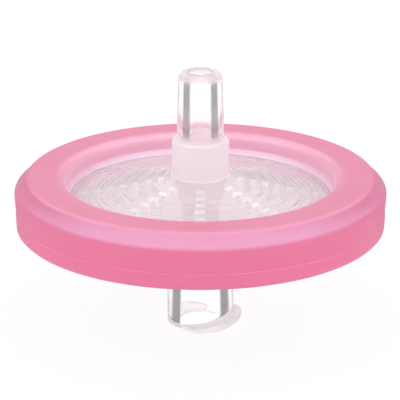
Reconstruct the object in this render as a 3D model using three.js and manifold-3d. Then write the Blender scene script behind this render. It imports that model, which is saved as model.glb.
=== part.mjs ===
// Syringe filter: two clear moulded housing halves clamp a membrane disc, and a moulded ring seals their rims.
// Millimetres, +Z up. The origin is the centre of the inlet's end face, on which the filter stands.
import * as THREE from "three";
import { mergeVertices } from "three/addons/utils/BufferGeometryUtils.js";
import Module from "manifold-3d";

const wasm = await Module();
wasm.setup();

// ---- Driving dimensions ----

// Housing discs, seen from above.
const HOUSING_R = 14.6; // rim of both halves
const RIM_WIDTH = 0.55; // rim outside the membrane's pocket, where the halves touch
const CLAMP_WIDTH = 1.45; // annulus that grips the membrane
const MEMBRANE_CLEARANCE = 0.1; // radial play of the membrane in its pocket

// Stack of heights, from the inlet's end face to the outlet's tip.
const STANDOFF = 9.4; // end face to the ring's underside
const UNDER_RECESS = 1.1; // ring's underside to the inlet disc's underside
const INLET_FLOOR = 0.75; // thickness of the inlet disc
const SPREADER_HEIGHT = 0.4; // ribs that stand under the membrane
const MEMBRANE_THICKNESS = 0.15;
const FLANGE_THICKNESS = 0.55; // outlet half's rim, under the ring
const LAND_STEP = 0.2; // edge of the outlet disc, against which the ring is moulded
const CONE_RISE = 1.9; // rise of the outlet disc from its edge to the hub
const HUB_HEIGHT = 3.5; // hub above the disc
const TIP_LENGTH = 6.35; // male taper above the hub

// Male and female tapers, 6 % on the diameter.
const TAPER_PER_MM = 0.03; // change of radius
const TIP_R = 2.0; // outer radius at the male end
const TIP_EDGE_R = 0.6; // rounding of the male end
const LUMEN_R = 1.1; // outlet passage at the male end
const LUMEN_DRAFT = 0.015; // growth of its radius for each mm towards the disc
const MOUTH_R = 2.15; // female bore at the end face
const MOUTH_CHAMFER = 0.12; // widening at the end face
const BORE_DEPTH = 9.0; // tapered part of the female bore
const PASSAGE_R = 1.0; // inlet passage behind the bore
const FUNNEL_LENGTH = 0.5; // slope from the bore to the passage

// Inlet tube and its two locking lugs, which are short stretches of a two-start thread.
const TUBE_WALL = 0.95; // around the mouth of the bore
const TUBE_FILLET = 0.5; // at the foot of the tube
const LUG_REACH = 0.77; // crest beyond the tube
const LUG_CREST = 0.7; // height of the crest
const LUG_FLANK = 0.45; // rise of the flank from the crest to the tube
const LUG_LEAD = 3.6; // climb for each turn
const LUG_FLAT_INSET = 0.2; // flats at the lugs' ends, inside the tube's radius
const LUG_AZIMUTH = -55; // degrees, direction across the flats of the wide lug
const LUG_SPANS = [
  [-126, -3, 0.1],
  [76, 140, 0.32],
]; // degrees, where each lug starts and ends, then its crest's upper edge at the start

// Outlet disc: hub, roof and the ridges that carry the membrane.
const HUB_WALL = 1.55; // around the lumen's narrow end
const HUB_EDGE_R = 0.4; // rounded shoulder
const ROOF_THICKNESS = 0.65;
const CHANNEL_COUNT = 8;
const CHANNEL_WIDTH = 0.85;
const RIDGE_PITCH = 1.17;
const RIDGE_WIDTH = 0.55;
const RIDGE_HUB_GAP = 0.68; // hub to the first ridge

// Inlet disc: radial ribs that spread the flow.
const SPREADER_COUNT = 16;
const SPREADER_WIDTH = 0.5;
const SPREADER_GAP = 1.6; // clear of the passage and of the clamped annulus

// Sealing ring.
const RING_GRIP = 2.5; // overlap on the outlet disc
const RING_UNDER_GRIP = 1.7; // overlap on the inlet disc
const RING_WALL = 2.52; // outside the housing rims, just above the parting line
const WALL_DRAFT = 0.16; // lean of the wall above the parting line
const RING_RISE = 1.9; // crest above the outlet disc's edge
const LIP_WIDTH = 0.35; // steep lip at the foot of the inner wall
const LIP_RISE = 0.5;
const INNER_DRAFT = 0.08; // lean of the inner wall
const CREST_EDGE_R = 0.8; // rounding from the inner wall to the crest
const SHOULDER_WIDTH = 1.21;
const SHOULDER_DROP = 1.2;
const SHOULDER_SAG = 0.1; // hollow of the shoulder
const PARTING_RISE = 1.55; // parting line above the ring's underside
const PARTING_STEP = 0.08; // lower mould's wall outside the upper one's
const BOTTOM_EDGE = 0.25; // chamfer of the lower outer edge
const BOTTOM_DRAFT = 0.05; // lean of the wall under the parting line
const UNDER_DRAFT = 0.2; // lean of the recess wall in the underside

// ---- Derived radii and levels ----

const WINDOW_R = HOUSING_R - RING_GRIP;
const POCKET_R = HOUSING_R - RIM_WIDTH;
const MEMBRANE_R = POCKET_R - MEMBRANE_CLEARANCE;
const PLENUM_R = POCKET_R - CLAMP_WIDTH;
const HUB_R = LUMEN_R + HUB_WALL;
const TUBE_R = MOUTH_R + TUBE_WALL;
const LUG_R = TUBE_R + LUG_REACH;
const WALL_R = HOUSING_R + RING_WALL;

const INLET_UNDER_Z = STANDOFF + UNDER_RECESS;
const FLOOR_Z = INLET_UNDER_Z + INLET_FLOOR;
const MEMBRANE_Z = FLOOR_Z + SPREADER_HEIGHT;
const RIDGE_Z = MEMBRANE_Z + MEMBRANE_THICKNESS;
const FLANGE_Z = RIDGE_Z + FLANGE_THICKNESS;
const EDGE_Z = FLANGE_Z + LAND_STEP;
const HUB_BASE_Z = EDGE_Z + CONE_RISE;
const HUB_TOP_Z = HUB_BASE_Z + HUB_HEIGHT;
const TIP_Z = HUB_TOP_Z + TIP_LENGTH;
const CREST_Z = EDGE_Z + RING_RISE;

// ---- Meshing ----

const DISC_SEGMENTS = 48; // shared by every face that touches another piece
const TUBE_SEGMENTS = 24;
const ARC_STEPS = 3;
const LUG_STEPS = 9;
const EMBED = 0.2; // overlap of features that are joined into one moulding
const OVERRUN = 1; // cutters run past the faces that they cut
const MERGE_TOLERANCE = 1e-4;

// ---- Solids ----

/** Makes a manifold solid from a closed geometry. */
function toSolid(geometry) {
  geometry.deleteAttribute("normal");
  geometry.deleteAttribute("uv");
  const merged = mergeVertices(geometry, MERGE_TOLERANCE);
  const index = merged.index.array;
  const triangles = [];
  for (let i = 0; i < index.length; i += 3) {
    const corners = [index[i], index[i + 1], index[i + 2]];
    if (new Set(corners).size === 3) {
      triangles.push(...corners);
    }
  }
  const mesh = new wasm.Mesh({
    numProp: 3,
    vertProperties: new Float32Array(merged.attributes.position.array),
    triVerts: new Uint32Array(triangles),
  });
  return new wasm.Manifold(mesh);
}

/** Turns a section, given as [radius, height] points, about the Z axis. */
function turned(section, segments) {
  const points = section.map(([radius, height]) => new THREE.Vector2(radius, height));
  const geometry = new THREE.LatheGeometry(points, segments);
  geometry.rotateX(Math.PI / 2);
  return toSolid(geometry);
}

/** Turns a section that doesn't reach the axis: its last point joins its first. */
function turnedRing(section, segments) {
  return turned([...section, section[0]], segments);
}

/** Makes a box from x1 to x2 along a direction, centred across it, from z1 to z2. */
function radialBox(x1, x2, width, z1, z2, degrees) {
  const geometry = new THREE.BoxGeometry(x2 - x1, width, z2 - z1);
  geometry.translate((x1 + x2) / 2, 0, (z1 + z2) / 2);
  geometry.rotateZ(THREE.MathUtils.degToRad(degrees));
  return toSolid(geometry);
}

/** Gives the points of an arc, from one angle to another in degrees. */
function arc(radius, height, arcRadius, from, to) {
  const points = [];
  for (let i = 0; i <= ARC_STEPS; i++) {
    const angle = THREE.MathUtils.degToRad(from + ((to - from) * i) / ARC_STEPS);
    points.push([radius + arcRadius * Math.cos(angle), height + arcRadius * Math.sin(angle)]);
  }
  return points;
}

/** Gives the inner points of a shallow hollow between two points. */
function hollow([r1, z1], [r2, z2], sag) {
  const length = Math.hypot(r2 - r1, z2 - z1);
  const points = [];
  for (let i = 1; i < ARC_STEPS; i++) {
    const t = i / ARC_STEPS;
    const depth = (4 * sag * t * (1 - t)) / length;
    points.push([r1 + (r2 - r1) * t - depth * (z2 - z1), z1 + (z2 - z1) * t + depth * (r2 - r1)]);
  }
  return points;
}

// ---- Inlet half ----

/** Disc under the membrane, with the pocket that centres it. */
function inletDisc() {
  return turned(
    [
      [0, INLET_UNDER_Z],
      [HOUSING_R, INLET_UNDER_Z],
      [HOUSING_R, RIDGE_Z],
      [POCKET_R, RIDGE_Z],
      [POCKET_R, MEMBRANE_Z],
      [PLENUM_R, MEMBRANE_Z],
      [PLENUM_R, FLOOR_Z],
      [0, FLOOR_Z],
    ],
    DISC_SEGMENTS,
  );
}

/** Tube from the end face to the disc, with a fillet at its foot. */
function inletTube() {
  return turned(
    [
      [0, 0],
      [TUBE_R, 0],
      ...arc(TUBE_R + TUBE_FILLET, INLET_UNDER_Z - TUBE_FILLET, TUBE_FILLET, 180, 90),
      [TUBE_R + TUBE_FILLET, INLET_UNDER_Z + EMBED],
      [0, INLET_UNDER_Z + EMBED],
    ],
    TUBE_SEGMENTS,
  );
}

/** One lug: a ridge that climbs like a thread from a height, between two directions in degrees. */
function threadLug([from, to, top]) {
  const root = TUBE_R - LUG_FLAT_INSET - EMBED;
  const section = new THREE.Shape([
    new THREE.Vector2(root, top - LUG_CREST - LUG_FLANK),
    new THREE.Vector2(LUG_R, top - LUG_CREST),
    new THREE.Vector2(LUG_R, top),
    new THREE.Vector2(root, top + LUG_FLANK),
  ]);
  const start = THREE.MathUtils.degToRad(from);
  const end = THREE.MathUtils.degToRad(to);
  const geometry = new THREE.ExtrudeGeometry(section, { depth: end - start, steps: LUG_STEPS, bevelEnabled: false });
  const position = geometry.attributes.position;
  for (let i = 0; i < position.count; i++) {
    const radius = position.getX(i);
    const angle = end - position.getZ(i);
    const climb = (LUG_LEAD * (angle - start)) / (2 * Math.PI);
    position.setXYZ(i, radius * Math.cos(angle), radius * Math.sin(angle), position.getY(i) + climb);
  }
  return toSolid(geometry);
}

/** Both lugs, cut off at the end face and by two parallel flats. */
function lockingLugs() {
  const lugs = threadLug(LUG_SPANS[0]).add(threadLug(LUG_SPANS[1]));
  const width = 2 * (TUBE_R - LUG_FLAT_INSET);
  return lugs.intersect(radialBox(-LUG_R - OVERRUN, LUG_R + OVERRUN, width, 0, INLET_UNDER_Z, LUG_AZIMUTH));
}

/** Tapered female bore, funnel and passage, as the space that they take. */
function inletPassage() {
  const floorR = MOUTH_R - TAPER_PER_MM * BORE_DEPTH;
  return turned(
    [
      [0, -OVERRUN],
      [MOUTH_R + MOUTH_CHAMFER, -OVERRUN],
      [MOUTH_R + MOUTH_CHAMFER, 0],
      [MOUTH_R - TAPER_PER_MM * MOUTH_CHAMFER, MOUTH_CHAMFER],
      [floorR, BORE_DEPTH],
      [PASSAGE_R, BORE_DEPTH + FUNNEL_LENGTH],
      [PASSAGE_R, FLOOR_Z + OVERRUN],
      [0, FLOOR_Z + OVERRUN],
    ],
    TUBE_SEGMENTS,
  );
}

/** Joins the radial ribs that stand on the inlet disc's floor. */
function addSpreaders(disc) {
  let result = disc;
  for (let i = 0; i < SPREADER_COUNT; i++) {
    const degrees = (360 * (i + 0.5)) / SPREADER_COUNT;
    const inner = PASSAGE_R + SPREADER_GAP;
    const outer = PLENUM_R - SPREADER_GAP / 2;
    result = result.add(radialBox(inner, outer, SPREADER_WIDTH, FLOOR_Z - EMBED, MEMBRANE_Z, degrees));
  }
  return result;
}

function inletHousing() {
  return addSpreaders(inletDisc()).add(inletTube()).add(lockingLugs()).subtract(inletPassage());
}

// ---- Outlet half ----

/** Height of the outlet disc's conical top at a radius. */
function coneZ(radius) {
  return EDGE_Z + (CONE_RISE * (WINDOW_R - radius)) / (WINDOW_R - HUB_R);
}

/** Conical roof with its rim. */
function outletRoof() {
  return turned(
    [
      [0, coneZ(HUB_R) - ROOF_THICKNESS],
      [HUB_R, coneZ(HUB_R) - ROOF_THICKNESS],
      [WINDOW_R, EDGE_Z - ROOF_THICKNESS],
      [PLENUM_R, EDGE_Z - ROOF_THICKNESS],
      [PLENUM_R, RIDGE_Z],
      [HOUSING_R, RIDGE_Z],
      [HOUSING_R, FLANGE_Z],
      [WINDOW_R, FLANGE_Z],
      [WINDOW_R, EDGE_Z],
      [HUB_R - EMBED, coneZ(HUB_R - EMBED)],
      [0, coneZ(HUB_R - EMBED)],
    ],
    DISC_SEGMENTS,
  );
}

/** Radii of the ridges' middles, from the hub out to the plenum's wall. */
function ridgeRadii() {
  const radii = [];
  const last = Math.min(WINDOW_R, PLENUM_R) - RIDGE_WIDTH / 2;
  for (let r = HUB_R + RIDGE_HUB_GAP + RIDGE_WIDTH / 2; r <= last; r += RIDGE_PITCH) {
    radii.push(r);
  }
  return radii;
}

/** One concentric ridge, from the membrane's plane up into the roof. */
function ridge(middle) {
  const inner = middle - RIDGE_WIDTH / 2;
  const outer = middle + RIDGE_WIDTH / 2;
  return turnedRing(
    [
      [inner, RIDGE_Z],
      [outer, RIDGE_Z],
      [outer, coneZ(outer) - ROOF_THICKNESS + EMBED],
      [inner, coneZ(inner) - ROOF_THICKNESS + EMBED],
    ],
    DISC_SEGMENTS,
  );
}

/** All ridges, cut by the radial channels that lead to the lumen. */
function supportRidges() {
  const radii = ridgeRadii();
  let ridges = ridge(radii[0]);
  for (const middle of radii.slice(1)) {
    ridges = ridges.add(ridge(middle));
  }
  for (let i = 0; i < CHANNEL_COUNT; i++) {
    const degrees = (360 * i) / CHANNEL_COUNT - 90;
    const channel = radialBox(HUB_R, PLENUM_R, CHANNEL_WIDTH, RIDGE_Z - OVERRUN, HUB_BASE_Z + OVERRUN, degrees);
    ridges = ridges.subtract(channel);
  }
  return ridges;
}

/** Hub and male taper, with rounded shoulder and tip. */
function hubAndTip() {
  const baseR = TIP_R + TAPER_PER_MM * TIP_LENGTH;
  const edgeR = TIP_R + TAPER_PER_MM * TIP_EDGE_R;
  return turned(
    [
      [0, HUB_BASE_Z - EMBED],
      [HUB_R, HUB_BASE_Z - EMBED],
      ...arc(HUB_R - HUB_EDGE_R, HUB_TOP_Z - HUB_EDGE_R, HUB_EDGE_R, 0, 90),
      [baseR, HUB_TOP_Z],
      ...arc(edgeR - TIP_EDGE_R, TIP_Z - TIP_EDGE_R, TIP_EDGE_R, 0, 90),
      [0, TIP_Z],
    ],
    TUBE_SEGMENTS,
  );
}

/** Outlet passage, as the space that it takes. */
function outletPassage() {
  return turned(
    [
      [0, RIDGE_Z],
      [LUMEN_R + LUMEN_DRAFT * (TIP_Z - RIDGE_Z), RIDGE_Z],
      [LUMEN_R - LUMEN_DRAFT * OVERRUN, TIP_Z + OVERRUN],
      [0, TIP_Z + OVERRUN],
    ],
    TUBE_SEGMENTS,
  );
}

function outletHousing() {
  return outletRoof().add(supportRidges()).add(hubAndTip()).subtract(outletPassage());
}

// ---- Membrane ----

function membrane() {
  return turned(
    [
      [0, MEMBRANE_Z],
      [MEMBRANE_R, MEMBRANE_Z],
      [MEMBRANE_R, RIDGE_Z],
      [0, RIDGE_Z],
    ],
    DISC_SEGMENTS,
  );
}

// ---- Sealing ring ----

/** Ring moulded around both rims: a C section that grips the discs from above and below. */
function sealingRing() {
  const lipTop = [WINDOW_R + LIP_WIDTH, EDGE_Z + LIP_RISE];
  const shoulderFoot = [WALL_R + WALL_DRAFT, CREST_Z - SHOULDER_DROP];
  const crestOuter = [shoulderFoot[0] - SHOULDER_WIDTH, CREST_Z];
  const crestInnerR = lipTop[0] + INNER_DRAFT + CREST_EDGE_R;
  const lowerR = WALL_R + PARTING_STEP;
  const underR = HOUSING_R - RING_UNDER_GRIP;
  return turnedRing(
    [
      [underR, INLET_UNDER_Z],
      [underR + UNDER_DRAFT, STANDOFF],
      [lowerR - BOTTOM_DRAFT - BOTTOM_EDGE, STANDOFF],
      [lowerR - BOTTOM_DRAFT, STANDOFF + BOTTOM_EDGE],
      [lowerR, STANDOFF + PARTING_RISE],
      [WALL_R, STANDOFF + PARTING_RISE],
      shoulderFoot,
      ...hollow(shoulderFoot, crestOuter, SHOULDER_SAG),
      crestOuter,
      ...arc(crestInnerR, CREST_Z - CREST_EDGE_R, CREST_EDGE_R, 90, 180),
      lipTop,
      [WINDOW_R, EDGE_Z],
      [WINDOW_R, FLANGE_Z],
      [HOUSING_R, FLANGE_Z],
      [HOUSING_R, INLET_UNDER_Z],
    ],
    DISC_SEGMENTS,
  );
}

// ---- Materials ----

/** Clear polypropylene, a little milky. */
function clearPlastic() {
  return new THREE.MeshStandardMaterial({ color: 0xf1ecef, roughness: 0.25, metalness: 0 });
}

function membranePaper() {
  return new THREE.MeshStandardMaterial({ color: 0xf6f3f2, roughness: 0.9, metalness: 0 });
}

function pinkPlastic() {
  return new THREE.MeshStandardMaterial({ color: 0xec7a9b, roughness: 0.4, metalness: 0 });
}

// ---- Assembly ----

/** Wraps a solid as a named mesh. */
function toMesh(name, solid, material) {
  const { vertProperties, triVerts } = solid.getMesh();
  const geometry = new THREE.BufferGeometry();
  geometry.setAttribute("position", new THREE.BufferAttribute(vertProperties, 3));
  geometry.setIndex(new THREE.BufferAttribute(triVerts, 1));
  geometry.computeVertexNormals();
  const mesh = new THREE.Mesh(geometry, material);
  mesh.name = name;
  return mesh;
}

const filter = new THREE.Group();
filter.add(toMesh("inlet_housing", inletHousing(), clearPlastic()));
filter.add(toMesh("outlet_housing", outletHousing(), clearPlastic()));
filter.add(toMesh("membrane", membrane(), membranePaper()));
filter.add(toMesh("sealing_ring", sealingRing(), pinkPlastic()));

export default filter;
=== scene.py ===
"""Looks of a disc syringe filter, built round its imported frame.

Two clear housing halves, the membrane between them and the moulded ring round
their rims are closed turned meshes. Sections are worked out in millimetres in
the frame of the part, and meshes are made in metres.
"""

import logging
import math
from collections.abc import Callable
from dataclasses import dataclass
from enum import Enum

import bpy
import numpy as np
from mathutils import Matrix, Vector


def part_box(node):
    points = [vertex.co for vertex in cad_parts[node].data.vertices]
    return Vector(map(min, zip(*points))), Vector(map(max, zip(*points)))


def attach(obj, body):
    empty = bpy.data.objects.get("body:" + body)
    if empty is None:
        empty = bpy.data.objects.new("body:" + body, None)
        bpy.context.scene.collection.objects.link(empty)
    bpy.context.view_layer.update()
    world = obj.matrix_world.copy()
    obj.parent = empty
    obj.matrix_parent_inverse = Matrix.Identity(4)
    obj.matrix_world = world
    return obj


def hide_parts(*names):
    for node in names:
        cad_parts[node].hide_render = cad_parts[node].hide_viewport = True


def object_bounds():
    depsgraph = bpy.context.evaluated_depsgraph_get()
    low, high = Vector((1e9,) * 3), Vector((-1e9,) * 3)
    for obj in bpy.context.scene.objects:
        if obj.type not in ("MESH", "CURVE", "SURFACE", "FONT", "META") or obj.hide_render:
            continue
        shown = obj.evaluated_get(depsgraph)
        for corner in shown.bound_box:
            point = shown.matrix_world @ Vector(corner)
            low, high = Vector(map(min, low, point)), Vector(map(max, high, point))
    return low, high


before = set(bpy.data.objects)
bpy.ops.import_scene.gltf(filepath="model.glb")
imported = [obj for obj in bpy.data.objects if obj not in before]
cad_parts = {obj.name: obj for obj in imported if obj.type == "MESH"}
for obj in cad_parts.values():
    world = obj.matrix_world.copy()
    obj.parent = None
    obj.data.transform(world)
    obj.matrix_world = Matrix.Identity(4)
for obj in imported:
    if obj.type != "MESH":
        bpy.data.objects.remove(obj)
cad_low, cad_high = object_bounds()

MM = 0.001
NEAR = 1e-6  # places closer than this are the same, millimetres
PLASTIC_IOR = 1.49
log = logging.getLogger("syringe_filter")

Colour = tuple[float, float, float]
Place = tuple[float, float, float]
Point = tuple[float, float]  # radius, height
Span = tuple[float, float]  # from, to
Run = tuple[float, float, int]  # from, to, how many
Array = np.ndarray
Socket = bpy.types.NodeSocket


# ---- Shader graph ----


class Value:
    """A number in a shader: arithmetic on it adds Math nodes."""

    def __init__(self, graph: "Graph", socket: Socket) -> None:
        """Wraps an output socket of a graph."""
        self.graph = graph
        self.socket = socket

    def _math(self, operation: str, *operands: "Value | float") -> "Value":
        """Adds a Math node on some operands."""
        return self.graph.node("ShaderNodeMath", {"operation": operation}, dict(enumerate(operands))).value()

    def __add__(self, other: "Value | float") -> "Value":
        """Sum."""
        return self._math("ADD", self, other)

    __radd__ = __add__

    def __sub__(self, other: "Value | float") -> "Value":
        """Difference."""
        return self._math("SUBTRACT", self, other)

    def __rsub__(self, other: float) -> "Value":
        """Difference from a number."""
        return self._math("SUBTRACT", other, self)

    def __mul__(self, other: "Value | float") -> "Value":
        """Product."""
        return self._math("MULTIPLY", self, other)

    __rmul__ = __mul__

    def __truediv__(self, other: "Value | float") -> "Value":
        """Quotient."""
        return self._math("DIVIDE", self, other)

    def __rtruediv__(self, other: float) -> "Value":
        """Quotient of a number and this value."""
        return self._math("DIVIDE", other, self)

    def root(self) -> "Value":
        """Square root."""
        return self._math("SQRT", self)

    def either(self, other: "Value | float") -> "Value":
        """The larger of two values."""
        return self._math("MAXIMUM", self, other)

    def swing(self, share: float) -> "Value":
        """Runs from 1 - share to 1 + share as this value runs from 0 to 1."""
        return (1.0 - share) + 2.0 * share * self

    def ramp(self, low: float, high: float, smooth: bool = True) -> "Value":
        """Runs from 0 to 1 between two numbers, and is clamped outside them.

        Args:
            low: value that gives 0.
            high: value that gives 1.
            smooth: eased at both ends, where True.

        Returns:
            The ramp's value.
        """
        settings = {"interpolation_type": "SMOOTHSTEP" if smooth else "LINEAR"}
        inputs = {"Value": self, "From Min": low, "From Max": high}
        return self.graph.node("ShaderNodeMapRange", settings, inputs).value()


class Node:
    """A node that has been added to a graph."""

    def __init__(self, graph: "Graph", node: bpy.types.Node) -> None:
        """Wraps a node."""
        self.graph = graph
        self.node = node

    def __getitem__(self, key: "str | int") -> Socket:
        """Output socket by name or number."""
        return self.node.outputs[key]

    def value(self, key: "str | int" = 0) -> Value:
        """Output socket as a number."""
        return Value(self.graph, self.node.outputs[key])


class Graph:
    """The nodes of one material or world."""

    def __init__(self, owner: "bpy.types.Material | bpy.types.World") -> None:
        """Clears a node tree.

        Args:
            owner: the material or world that the tree belongs to.
        """
        owner.use_nodes = True
        self.tree = owner.node_tree
        self.tree.nodes.clear()

    def node(self, kind: str, settings: dict | None = None, inputs: dict | None = None) -> Node:
        """Adds a node.

        Args:
            kind: the node's type.
            settings: attributes, set before the sockets.
            inputs: socket name or number to a number, a colour, a Value or a socket.

        Returns:
            The node.
        """
        made = self.tree.nodes.new(kind)
        for name, setting in (settings or {}).items():
            setattr(made, name, setting)
        for key, given in (inputs or {}).items():
            self._fill(made.inputs[key], given)
        return Node(self, made)

    def _fill(self, socket: Socket, given: "float | Colour | Value | Socket") -> None:
        """Links an input socket, or sets it to a constant.

        Args:
            socket: the input socket.
            given: what it takes.
        """
        if isinstance(given, Value):
            given = given.socket
        if isinstance(given, Socket):
            self.tree.links.new(given, socket)
        elif socket.type == "RGBA":
            socket.default_value = (*given, 1.0)
        else:
            socket.default_value = given

    def mix_colours(self, share: Value, low: "Colour | Socket", high: "Colour | Socket") -> Socket:
        """Mixes two colours.

        Args:
            share: how much of the second colour is taken, from 0 to 1.
            low: the first colour.
            high: the second colour.

        Returns:
            The mixed colour.
        """
        made = self.node("ShaderNodeMix", {"data_type": "RGBA"}, {"Factor": share}).node
        for socket, colour in zip((s for s in made.inputs if s.type == "RGBA"), (low, high)):
            self._fill(socket, colour)
        return next(s for s in made.outputs if s.type == "RGBA")

    def mix_shaders(self, share: "Value | float", low: Socket, high: Socket) -> Socket:
        """Mixes two shaders: low where share is 0 and high where it is 1."""
        return self.node("ShaderNodeMixShader", {}, {0: share, 1: low, 2: high})["Shader"]

    def noise(self, place: Socket, size: float, detail: float = 2.0) -> Value:
        """Noise from 0 to 1, with grains of a size in metres."""
        inputs = {"Vector": place, "Scale": 1.0 / size, "Detail": detail}
        return self.node("ShaderNodeTexNoise", {}, inputs).value("Fac")

    def bump(self, height: Value, depth: float) -> Socket:
        """Bump of a height that runs from 0 to 1, over a depth in metres."""
        inputs = {"Height": height, "Distance": depth, "Strength": 1.0}
        return self.node("ShaderNodeBump", {}, inputs)["Normal"]


def add_object(name: str, data: bpy.types.ID) -> bpy.types.Object:
    """Adds an object to the scene.

    Args:
        name: the object's name.
        data: its mesh, lamp or camera.

    Returns:
        The object.
    """
    made = bpy.data.objects.new(name, data)
    bpy.context.scene.collection.objects.link(made)
    return made


def grey(level: float) -> Colour:
    """Colour of one level in all its channels."""
    return (level, level, level)


# ---- Finishes ----


@dataclass(frozen=True)
class Cloudy:
    """More haze over a stretch of height, eased in from one height to another, in metres."""

    start: float
    full: float
    share: float


@dataclass(frozen=True)
class InnerShade:
    """Painted shade: dark bands where light thrown back inside the plastic shows dark surroundings.

    They lie where the surface is met from inside, between two shares of the way
    from facing the eye to edge-on.
    """

    share: float  # of the painted dark shader that is mixed in, for the light that is lost
    end: float
    start: float = 0.23
    soft: float = 0.25  # eased part of the band, as a share of its width
    under: float = -1.0  # no shade under this height, metres
    rise: float = 0.0012  # height over which it sets in, metres
    # colour of the painted shade
    colour: Colour = (0.10, 0.09, 0.13)

    def add(self, graph: Graph, shader: Socket, facing: Value, height: Value) -> Socket:
        """Mixes the painted shade into a shader.

        Args:
            graph: the material's nodes.
            shader: the plastic without its shade.
            facing: 0 where the surface faces the eye and 1 edge-on.
            height: height of the surface, in metres.

        Returns:
            The mixed shader.
        """
        soft = self.soft * (self.end - self.start)
        band = facing.ramp(self.start - soft, self.start)
        band = band * (1.0 - facing.ramp(self.end - soft, self.end + soft))
        band = band * graph.node("ShaderNodeNewGeometry").value("Backfacing")  # met from inside
        band = band * height.ramp(self.under, self.under + self.rise)
        # painted shade: a dark matt shader mixed in over the bands
        painted_shade = graph.node("ShaderNodeBsdfDiffuse", {}, {"Color": self.colour})["BSDF"]
        return graph.mix_shaders(self.share * band, shader, painted_shade)


@dataclass(frozen=True)
class ClearPlastic:
    """Clear polypropylene: glossy and see-through, with a share of haze and painted shade towards the outline
    and in inner bands.
    """

    name: str
    roughness: float
    haze: float  # share of the light that the plastic scatters
    through: float  # share of that haze that lets light through
    ior: float = PLASTIC_IOR
    tint: Colour = (1.0, 1.0, 1.0)
    # painted shade: the colour that the plastic darkens to towards the outline
    painted_edge_shade: Colour = (1.0, 1.0, 1.0)
    edge_start: float = 0.5  # share of the way from facing the eye to edge-on
    edge_end: float = 0.95
    edge_haze: float = 0.0  # more haze towards the outline
    edge_haze_span: Span = (0.45, 0.75)
    milk: Colour = (0.97, 0.89, 0.93)  # colour of the haze
    milk_roughness: float = 0.35
    cloudy: tuple[Cloudy, ...] = ()
    shade: InnerShade | None = None
    grain: float = 0.0000015  # depth of the surface's grain, metres
    grain_size: float = 0.00035
    cloud_size: float = 0.004  # of the slow variation, metres
    roughness_swing: float = 0.2  # how far the variation takes it either way
    haze_swing: float = 0.15

    def build(self) -> bpy.types.Material:
        """Makes the material.

        Returns:
            The material.
        """
        material = bpy.data.materials.new(self.name)
        graph = Graph(material)
        place = graph.node("ShaderNodeTexCoord")["Object"]
        height = graph.node("ShaderNodeSeparateXYZ", {}, {0: place}).value("Z")
        facing = graph.node("ShaderNodeLayerWeight", {}, {"Blend": 0.5}).value("Facing")
        cloud = graph.noise(place, self.cloud_size, detail=1.0)
        normal = graph.bump(graph.noise(place, self.grain_size, detail=3.0), self.grain)
        shader = self._clear(graph, cloud, facing, normal)
        haze = self.haze * cloud.swing(self.haze_swing)
        for stretch in self.cloudy:
            haze = haze + stretch.share * height.ramp(stretch.start, stretch.full)
        if self.edge_haze > 0:
            haze = haze + self.edge_haze * facing.ramp(*self.edge_haze_span)
        shader = graph.mix_shaders(haze, shader, self._milk(graph, normal))
        if self.shade is not None:
            shader = self.shade.add(graph, shader, facing, height)
        graph.node("ShaderNodeOutputMaterial", {}, {"Surface": shader})
        return material

    def _clear(self, graph: Graph, cloud: Value, facing: Value, normal: Socket) -> Socket:
        """Makes the clear part of the plastic.

        Args:
            graph: the material's nodes.
            cloud: slow variation from 0 to 1.
            facing: 0 where the surface faces the eye and 1 edge-on.
            normal: grain of the surface.

        Returns:
            Its shader, which lets through the light that falls on what it covers.
        """
        tint = self.tint
        # painted shade, darker towards the outline
        if self.painted_edge_shade != self.tint:
            tint = graph.mix_colours(facing.ramp(self.edge_start, self.edge_end), self.tint, self.painted_edge_shade)
        inputs = {
            "Base Color": tint,
            "Roughness": self.roughness * cloud.swing(self.roughness_swing),
            "IOR": self.ior,
            "Transmission Weight": 1.0,
            "Normal": normal,
        }
        shader = graph.node("ShaderNodeBsdfPrincipled", {}, inputs)["BSDF"]
        path = graph.node("ShaderNodeLightPath")
        covered = graph.node("ShaderNodeBsdfTransparent")["BSDF"]
        for kind in ("Is Diffuse Ray", "Is Shadow Ray"):
            shader = graph.mix_shaders(path.value(kind), shader, covered)
        return shader

    def _milk(self, graph: Graph, normal: Socket) -> Socket:
        """Makes the hazy part of the plastic.

        Args:
            graph: the material's nodes.
            normal: grain of the surface.

        Returns:
            Its shader.
        """
        inputs = {
            "Base Color": self.milk,
            "Roughness": self.milk_roughness,
            "IOR": self.ior,
            "Normal": normal,
        }
        milk = graph.node("ShaderNodeBsdfPrincipled", {}, inputs)["BSDF"]
        glow = graph.node("ShaderNodeBsdfTranslucent", {}, {"Color": self.milk})["BSDF"]
        return graph.mix_shaders(self.through, milk, glow)


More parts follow.
